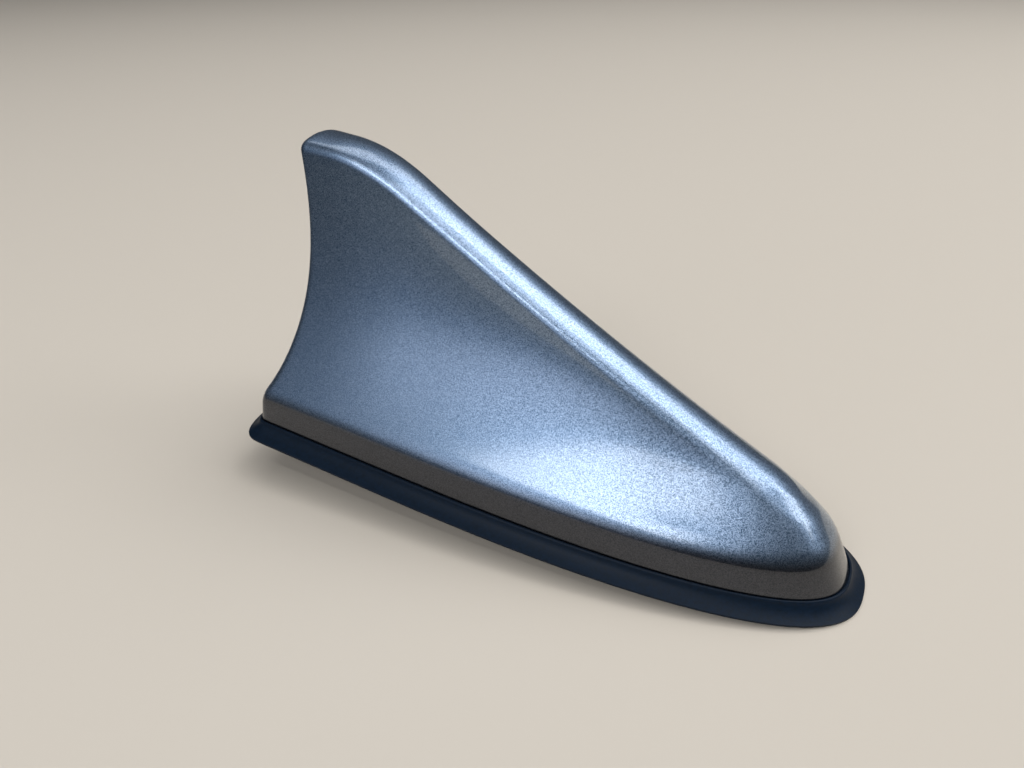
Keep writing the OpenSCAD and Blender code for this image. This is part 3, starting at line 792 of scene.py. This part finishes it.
class FinishShelf:
    """Makes each finish's material once, when a piece first asks for it."""

    def __init__(self) -> None:
        """Starts with no materials."""
        self.made: dict[str, bpy.types.Material] = {}

    def dress(self, piece: bpy.types.Object, finish: Finish | MetallicPaint) -> None:
        """Gives a piece a finish in place of the ones it has."""
        if finish.name not in self.made:
            self.made[finish.name] = finish.material()
        piece.data.materials.clear()
        piece.data.materials.append(self.made[finish.name])


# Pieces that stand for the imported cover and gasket


@dataclass
class FinCover:
    """The painted cover: a thin shell with a rounded lower edge and screw posts inside."""

    form: FinForm
    paint: MetallicPaint = field(default_factory=MetallicPaint)
    edge_round: float = 0.35
    plate_top: float = 5.4
    post_d: float = 5.6
    post_inset: float = 10.2
    front_post_x: float = 17.0
    post_x: tuple[float, ...] = (52.0, 98.0, 146.0)
    screw_hole_d: float = 3.0
    screw_hole_h: float = 8.3
    post_sides: int = 32
    post_sink: float = 0.4
    sharp_deg: float = 40.0

    def build(self, shelf: FinishShelf) -> bpy.types.Object:
        """Builds, dresses and places the cover.

        Args:
            shelf: Gives the paint.

        Returns:
            The piece.
        """
        skin = LoopSkin(self.form)
        outer = self.form.half_rows(0.0, self.edge_round)
        inner = self.form.half_rows(self.form.wall, 0.0)
        skins = [[skin.loop(row) for row in rows] for rows in (outer, inner)]
        for loops, rows in zip(skins, (outer, inner)):
            for lower, upper in zip(loops, loops[1:]):
                skin.wall(lower, upper)
            skin.crown(loops[-1], rows[-1], self.form.crown_cols)
        skin.wall(skins[1][0], skins[0][0])
        self.add_posts(skin.mesh)
        piece = skin.finish("fin_cover_shell", self.sharp_deg)
        shelf.dress(piece, self.paint)
        return settle(piece, "cover_paint", "fin_cover")

    def post_places(self) -> list[Point2]:
        """Gives the stations and offsets of the screw posts."""
        sides = [
            (x, side * (self.form.outline_half(x) - self.post_inset))
            for x in self.post_x
            for side in (-1, 1)
        ]
        return [(self.front_post_x, 0.0), *sides]

    def add_posts(self, mesh: bmesh.types.BMesh) -> None:
        """Adds hollow posts that run up into the wall above them."""
        mesh.faces.ensure_lookup_table()
        tree = BVHTree.FromBMesh(mesh)
        for x, y in self.post_places():
            rings = [
                [self.post_point(x, y, d, k, top, tree) for k in range(self.post_sides)]
                for d in (self.post_d, self.screw_hole_d)
                for top in (False, True)
            ]
            low_out, high_out, low_in, high_in = [
                [mesh.verts.new(p) for p in ring] for ring in rings
            ]
            for k in range(self.post_sides):
                j = (k + 1) % self.post_sides
                mesh.faces.new((low_out[k], low_out[j], high_out[j], high_out[k]))
                mesh.faces.new((low_in[j], low_in[k], high_in[k], high_in[j]))
                mesh.faces.new((low_out[j], low_out[k], low_in[k], low_in[j]))
            mesh.faces.new(high_in)
            mesh.faces.new(high_out)

    def post_point(self, x: float, y: float, d: float, k: int, top: bool, tree: BVHTree) -> Vector:
        """Gives a point on one ring of a post.

        Args:
            x: Station of the post.
            y: Its offset from the middle.
            d: Diameter of the ring.
            k: Number of the point round the ring.
            top: Whether the ring is at the top.
            tree: The cover's skins, which the outer ring's top runs up into.

        Returns:
            The point, in the row frame.
        """
        angle = 2 * math.pi * k / self.post_sides
        px, py = x + d / 2 * math.cos(angle), y + d / 2 * math.sin(angle)
        low = self.form.to_row((px, py, self.plate_top))
        if not top:
            return low
        if d == self.screw_hole_d:
            return self.form.to_row((px, py, self.plate_top + self.screw_hole_h))
        hit = tree.ray_cast(low, Vector((0, 0, 1)))[0]
        return hit + Vector((0, 0, self.post_sink * MM))


@dataclass
class BaseGasket:
    """The rubber gasket: a flared lip, a fine bead beside the cover, and a recessed underside."""

    form: FinForm
    rubber: Finish = GASKET_RUBBER
    lip_out: float = 4.6
    lip_t: float = 0.7
    lip_round: float = 0.3
    bead: tuple[Point2, ...] = (
        (0.80, -0.12), (0.70, 0.08), (0.58, 0.21), (0.44, 0.29),
        (0.30, 0.32), (0.17, 0.27), (0.08, 0.12),
    )
    groove: tuple[Point2, ...] = ((0.05, -0.14), (-0.1, -0.14), (-0.2, 0.0))
    flare_end: Point2 = (0.06, -0.35)
    flare_rows: int = 10
    round_share: float = 0.3
    sharp_deg: float = 50.0
    drum_sides: int = 64
    pad_t: float = 3.0
    pad_inset: float = 2.4
    recess_t: float = 0.6
    recess_inset: float = 9.0
    land_w: float = 4.0
    boss_hole_d: float = 18.6
    ring_hole_d: float = 23.2
    ring_hole_h: float = 1.3
    pin_x: float = 62.0
    pin_gap: float = 14.0
    pin_hole_d: float = 5.0
    vent_place: Point2 = (70.0, 9.0)
    vent_d: float = 3.0
    socket_x: float = 131.0
    socket_hole: Point2 = (15.6, 9.6)

    def profile(self) -> list[Point2]:
        """Gives each row's distance out from the cover's edge and its height, from the underside."""
        rim = self.form.rim_h
        eased = self.lip_round * self.round_share
        end_out, end_up = self.flare_end
        flare = [
            bend(
                Vector((self.lip_out, self.lip_t)),
                Vector((self.lip_out / 3, rim / 2)),
                Vector((self.bead[0][0] + end_out, rim + end_up)),
                s,
            )
            for s in steps(self.flare_rows)
        ]
        return [
            (self.lip_out - self.lip_round, 0.0),
            (self.lip_out - eased, eased),
            (self.lip_out, self.lip_round),
            (self.lip_out, self.lip_t),
            *[(p.x, p.y) for p in flare],
            *[(out, rim + up) for out, up in (*self.bead, *self.groove)],
            (-self.pad_inset, rim),
            (-self.pad_inset, self.pad_t),
        ]

    def build(self, shelf: FinishShelf) -> bpy.types.Object:
        """Builds, dresses and places the gasket.

        Args:
            shelf: Gives the rubber.

        Returns:
            The piece.
        """
        skin = LoopSkin(self.form)
        loops = [
            skin.loop([(x, y, z) for x, y in self.form.half_outline(-out)])
            for out, z in self.profile()
        ]
        for lower, upper in zip(loops, loops[1:]):
            skin.wall(lower, upper)
        skin.mesh.faces.new(loops[0])
        skin.mesh.faces.new(loops[-1])
        piece = skin.finish("base_gasket_moulding", self.sharp_deg)
        for cutter in self.cutters():
            cut_away(piece, cutter)
        smooth(piece.data, self.sharp_deg)
        shelf.dress(piece, self.rubber)
        return settle(piece, "gasket_rubber", "base_gasket")

    def cutters(self) -> list[bpy.types.Object]:
        """Gives the solids to cut from the gasket, in order."""
        fixing = self.form.fixing_x
        over = 1.0
        pins = [(self.pin_x, side * self.pin_gap / 2) for side in (-1, 1)]
        recess = self.slab(self.form.half_outline(self.recess_inset), -over, self.recess_t)
        lands = [self.drum(fixing, 0.0, self.ring_hole_d + 2 * self.land_w, -2 * over, 2 * over)]
        land_d = self.pin_hole_d + 2 * self.land_w
        lands += [self.drum(x, y, land_d, -2 * over, 2 * over) for x, y in pins]
        lands.append(self.window(self.land_w, -2 * over, 2 * over))
        for land in lands:
            cut_away(recess, land)
        through = self.pad_t + over
        return [
            recess,
            self.drum(fixing, 0.0, self.boss_hole_d, -over, through),
            self.drum(fixing, 0.0, self.ring_hole_d, -over, self.ring_hole_h),
            *[self.drum(x, y, self.pin_hole_d, -over, through) for x, y in pins],
            self.drum(*self.vent_place, self.vent_d, -over, through),
            self.window(0.0, -over, through),
        ]

    def slab(self, half: list[Point2], low: float, high: float) -> bpy.types.Object:
        """Makes a flat solid from half of an outline."""
        skin = LoopSkin(self.form)
        bottom, top = [skin.loop([(x, y, z) for x, y in half]) for z in (low, high)]
        skin.wall(bottom, top)
        skin.mesh.faces.new(bottom)
        skin.mesh.faces.new(top)
        return skin.finish("cutter", CUTTER_SHARP_DEG)

    def drum(self, x: float, y: float, d: float, low: float, high: float) -> bpy.types.Object:
        """Makes an upright round solid."""
        mesh = bmesh.new()
        place = Matrix.Translation(self.form.to_row((x, y, (low + high) / 2)))
        radius = d / 2 * MM
        bmesh.ops.create_cone(
            mesh,
            cap_ends=True,
            segments=self.drum_sides,
            radius1=radius,
            radius2=radius,
            depth=(high - low) * MM,
            matrix=place,
        )
        return show("cutter", mesh, CUTTER_SHARP_DEG)

    def window(self, grow: float, low: float, high: float) -> bpy.types.Object:
        """Makes the solid of the socket's window, grown all round."""
        length, width = self.socket_hole[0] + 2 * grow, self.socket_hole[1] + 2 * grow
        mesh = bmesh.new()
        centre = self.form.to_row((self.socket_x, 0.0, (low + high) / 2))
        size = Matrix.Diagonal((length * MM, width * MM, (high - low) * MM, 1.0))
        bmesh.ops.create_cube(mesh, size=1.0, matrix=Matrix.Translation(centre) @ size)
        return show("cutter", mesh, CUTTER_SHARP_DEG)


def cut_away(piece: bpy.types.Object, cutter: bpy.types.Object) -> None:
    """Cuts one solid from another, applies the cut and removes the cutter."""
    modifier = piece.modifiers.new("cut", "BOOLEAN")
    modifier.operation, modifier.solver, modifier.object = "DIFFERENCE", "EXACT", cutter
    bpy.context.view_layer.update()
    graph = bpy.context.evaluated_depsgraph_get()
    made = bpy.data.meshes.new_from_object(piece.evaluated_get(graph))
    piece.modifiers.remove(modifier)
    piece.data = made
    bpy.data.objects.remove(cutter)


def settle(piece: bpy.types.Object, slot: str, *nodes: str) -> bpy.types.Object:
    """Sets a piece on the body and hides the nodes that it stands for.

    Args:
        piece: The new piece, in place.
        slot: Name of a material slot, which is not used.
        nodes: The CAD nodes that it replaces.

    Returns:
        The piece.
    """
    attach(piece, ROOT_BODY)
    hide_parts(*nodes)
    return piece


@dataclass
class InnerParts:
    """The carried-over CAD nodes, which keep their shapes and get real finishes."""

    nodes: dict[str, bpy.types.Object]

    def dress(self, shelf: FinishShelf) -> list[str]:
        """Dresses every node that keeps its solid.

        Args:
            shelf: Gives the finishes.

        Returns:
            The names of the dressed nodes.
        """
        for name, finish in NODE_FINISHES.items():
            shelf.dress(self.nodes[name], finish)
        return list(NODE_FINISHES)


# Studio


@dataclass
class Camera:
    """The camera at the photograph's viewing angle, for a frame of 1024 by 768 pixels."""

    azimuth: float = 206.008
    elevation: float = 33.0
    roll: float = -4.114
    distance: float = 203.23
    target: Point3 = (-25.0, 0.0, 20.0)
    slide: Point2 = (-10.23, 8.19)
    focal_px: float = 770.04
    frame_px: float = 1024.0
    sensor: float = 36.0
    clip_m: Point2 = (0.01, 50.0)

    def build(self) -> None:
        """Makes the scene's camera."""
        a, e, r = (math.radians(v) for v in (self.azimuth, self.elevation, self.roll))
        back = Vector((math.sin(a) * math.cos(e), -math.cos(a) * math.cos(e), math.sin(e)))
        level = (-back).cross(Vector((0, 0, 1))).normalized()
        rise = level.cross(-back)
        right = math.cos(r) * level - math.sin(r) * rise
        up = math.sin(r) * level + math.cos(r) * rise
        place = Vector(self.target) + self.slide[0] * right + self.slide[1] * up + self.distance * back
        data = bpy.data.cameras.new("camera")
        data.sensor_width = self.sensor
        data.lens = self.sensor * self.focal_px / self.frame_px
        data.clip_start, data.clip_end = self.clip_m
        camera = bpy.data.objects.new("camera", data)
        axes = Matrix((right, up, back)).transposed().to_4x4()
        camera.matrix_world = Matrix.Translation(place * MM) @ axes
        bpy.context.scene.collection.objects.link(camera)
        bpy.context.scene.camera = camera


@dataclass(frozen=True)
class Softbox:
    """A soft area lamp aimed at the aerial, whose light fades towards its edges as a real one's does.

    Attributes:
        name: Name of the lamp.
        azimuth: Direction to the lamp from +X, in degrees.
        elevation: Its height over the horizon, in degrees.
        distance: Distance from the aerial, in metres.
        size: Length and width of the lamp, in metres.
        radiance: Brightness of its middle, where 1 looks white.
        fade: Share of its half-width over which it fades.
        turn: Angle that it is turned by about its own axis, in degrees.
        colour: Colour of its light.
    """

    name: str
    azimuth: float
    elevation: float
    distance: float
    size: Point2
    radiance: float
    fade: float = 0.6
    turn: float = 0.0
    colour: str = "#f8fbff"

    def build(self, centre: Vector) -> None:
        """Makes the lamp, facing a point."""
        a, e = math.radians(self.azimuth), math.radians(self.elevation)
        away = Vector((math.cos(a) * math.cos(e), math.sin(a) * math.cos(e), math.sin(e)))
        data = bpy.data.lights.new(self.name, "AREA")
        data.shape, data.size, data.size_y = "RECTANGLE", *self.size
        data.energy = self.radiance * math.pi * self.size[0] * self.size[1]
        data.color = linear(self.colour)[:3]
        self.soften(data)
        lamp = bpy.data.objects.new(self.name, data)
        turned = Matrix.Rotation(math.radians(self.turn), 4, "Z")
        facing = (-away).to_track_quat("-Z", "Y").to_matrix().to_4x4()
        lamp.matrix_world = Matrix.Translation(centre + away * self.distance) @ facing @ turned
        bpy.context.scene.collection.objects.link(lamp)

    def soften(self, data: bpy.types.Light) -> None:
        """Makes the lamp fade towards its edges."""
        tree = new_tree(data)
        spot = add_node(tree, "ShaderNodeNewGeometry").outputs["Parametric"]
        off = add_node(
            tree, "ShaderNodeVectorMath", {"operation": "SUBTRACT", 1: (0.5, 0.5, 0.0)}, {0: spot}
        )
        away = add_node(tree, "ShaderNodeVectorMath", {"operation": "ABSOLUTE"}, {0: off.outputs[0]})
        split = add_node(tree, "ShaderNodeSeparateXYZ", {}, {0: away.outputs[0]})
        span = (0.5, 0.5 * (1 - self.fade))
        faded = [ease(tree, split.outputs[axis], span) for axis in (0, 1)]
        level = add_node(
            tree, "ShaderNodeMath", {"operation": "MULTIPLY"}, {0: faded[0], 1: faded[1]}
        )
        glow = add_node(tree, "ShaderNodeEmission", {}, {"Strength": level.outputs[0]})
        add_node(tree, "ShaderNodeOutputLight", {}, {"Surface": glow.outputs[0]})


@dataclass
class Studio:
    """A plain pale floor, soft lamps and a dim surround.

    The aerial lies as a loose one does, on the gasket's nose and on the lower edge of its bush, so the
    floor leans to touch both. The floor runs far back behind the aerial and ends near it on the other
    side, so that the cover's tail mirrors little of it.
    """

    nose_rest: Point2 = (-109.6, 0.0)
    bush_rest: Point2 = (8.0, -8.8)
    floor_corners: tuple[Point2, ...] = (
        (62.0, 397.0), (265.0, -18.0), (2003.0, -914.0), (-243.0, -2010.0), (-522.0, 112.0)
    )
    floor_colour: str = "#c8beb0"
    floor_roughness: float = 0.9
    floor_specular: float = 0.2
    horizon: float = 0.07
    zenith: float = 0.1
    climb: Point2 = (0.25, 0.7)
    nose_way: Point3 = (-0.87, 0.5, 0.0)
    nose_span: Point2 = (0.35, 0.85)
    nose_dim: float = 0.15
    surround_colour: str = "#e6eefa"
    backdrop: str = "#cac3b7"
    aim: Point3 = (-0.02, 0.0, 0.03)
    lamps: tuple[Softbox, ...] = (
        Softbox("key", 84.0, 40.0, 2.4, (2.0, 1.1), 5.4, 0.5),
        Softbox("overhead", -165.0, 66.0, 2.4, (3.2, 1.7), 2.5, 0.3, -22.0),
        Softbox("shoulder_tube", 88.0, 62.0, 2.4, (1.8, 0.06), 18.0, 0.2),
        Softbox("crease_tube", 90.0, 45.5, 2.4, (0.9, 0.07), 11.0, 0.3, 41.0),
        Softbox("nose_top", -158.0, 36.0, 2.4, (1.2, 1.1), 4.5, 0.5),
        Softbox("rear_top", -40.0, 60.0, 2.4, (2.0, 1.1), 2.1, 0.5),
        Softbox("fill", 78.0, 14.0, 2.4, (2.4, 1.3), 2.1, 0.9, colour="#dce8fb"),
        Softbox("back", -105.0, 56.0, 2.6, (2.2, 1.6), 2.6, 0.6),
        Softbox("tube_a", -160.0, 64.6, 2.43, (1.6, 0.03), 11.0, 0.1, 29.8),
        Softbox("tube_b", -163.7, 66.8, 2.394, (1.6, 0.03), 11.0, 0.1, 29.8),
        Softbox("tube_c", -156.6, 62.5, 2.48, (1.6, 0.03), 11.0, 0.1, 29.8),
    )

    def build(self) -> None:
        """Makes the floor, the lamps and the surround."""
        self.floor()
        for lamp in self.lamps:
            lamp.build(Vector(self.aim))
        self.surround()
        bpy.context.scene.view_settings.view_transform = "Standard"

    def floor(self) -> None:
        """Makes the floor, leaning to touch the gasket's nose and the bush."""
        (x0, z0), (x1, z1) = self.nose_rest, self.bush_rest
        lean = math.atan2(z0 - z1, x1 - x0)
        data = bpy.data.meshes.new("floor")
        plan = [((x - x0) * MM, y * MM, 0.0) for x, y in self.floor_corners]
        data.from_pydata(plan, [], [list(range(len(plan)))])
        floor = bpy.data.objects.new("floor", data)
        move = Matrix.Translation((x0 * MM, 0, z0 * MM))
        floor.matrix_world = move @ Matrix.Rotation(lean, 4, "Y")
        bpy.context.scene.collection.objects.link(floor)
        data.materials.append(self.floor_material())

    def floor_material(self) -> bpy.types.Material:
        """Makes the floor's plain matt material."""
        made = bpy.data.materials.new("plain_matt_floor")
        tree = new_tree(made)
        surface = add_node(
            tree, "ShaderNodeBsdfPrincipled",
            {
                "Base Color": linear(self.floor_colour),
                "Roughness": self.floor_roughness,
                "Specular IOR Level": self.floor_specular,
            },
        )
        add_node(tree, "ShaderNodeOutputMaterial", {}, {"Surface": surface.outputs[0]})
        return made

    def surround(self) -> None:
        """Makes the dim surround, dimmest towards the nose, with a pale backdrop for the camera."""
        world = bpy.data.worlds.new("surround")
        tree = new_tree(world)
        way = add_node(tree, "ShaderNodeTexCoord").outputs["Generated"]
        height = add_node(tree, "ShaderNodeSeparateXYZ", {}, {0: way}).outputs[2]
        level = ease(tree, height, self.climb, (self.horizon, self.zenith))
        ahead = add_node(
            tree, "ShaderNodeVectorMath", {"operation": "DOT_PRODUCT", 1: self.nose_way}, {0: way}
        )
        dim = ease(tree, ahead.outputs["Value"], self.nose_span, (1.0, self.nose_dim))
        strength = add_node(tree, "ShaderNodeMath", {"operation": "MULTIPLY"}, {0: level, 1: dim})
        light = add_node(
            tree, "ShaderNodeBackground", {"Color": linear(self.surround_colour)},
            {"Strength": strength.outputs[0]},
        )
        pale = add_node(tree, "ShaderNodeBackground", {"Color": linear(self.backdrop)})
        seen = add_node(tree, "ShaderNodeLightPath").outputs["Is Camera Ray"]
        either = add_node(
            tree, "ShaderNodeMixShader", {}, {0: seen, 1: light.outputs[0], 2: pale.outputs[0]}
        )
        add_node(tree, "ShaderNodeOutputWorld", {}, {"Surface": either.outputs[0]})
        bpy.context.scene.world = world


def corners(box: Iterable[Vector]) -> list[list[float]]:
    """Turns a box's corners into plain lists."""
    return [list(corner) for corner in box]


def main() -> None:
    """Builds the aerial and its studio."""
    logging.basicConfig(level=logging.INFO, format="%(name)s: %(message)s")
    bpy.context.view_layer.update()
    shelf = FinishShelf()
    form = FinForm()
    for part in (FinCover(form), BaseGasket(form)):
        piece = part.build(shelf)
        LOG.info("%s: %d faces", piece.name, len(piece.data.polygons))
    for name in InnerParts(frame["nodes"]).dress(shelf):
        LOG.info("%s: dressed", name)
    Camera().build()
    Studio().build()


if __name__ == "__main__":
    main()
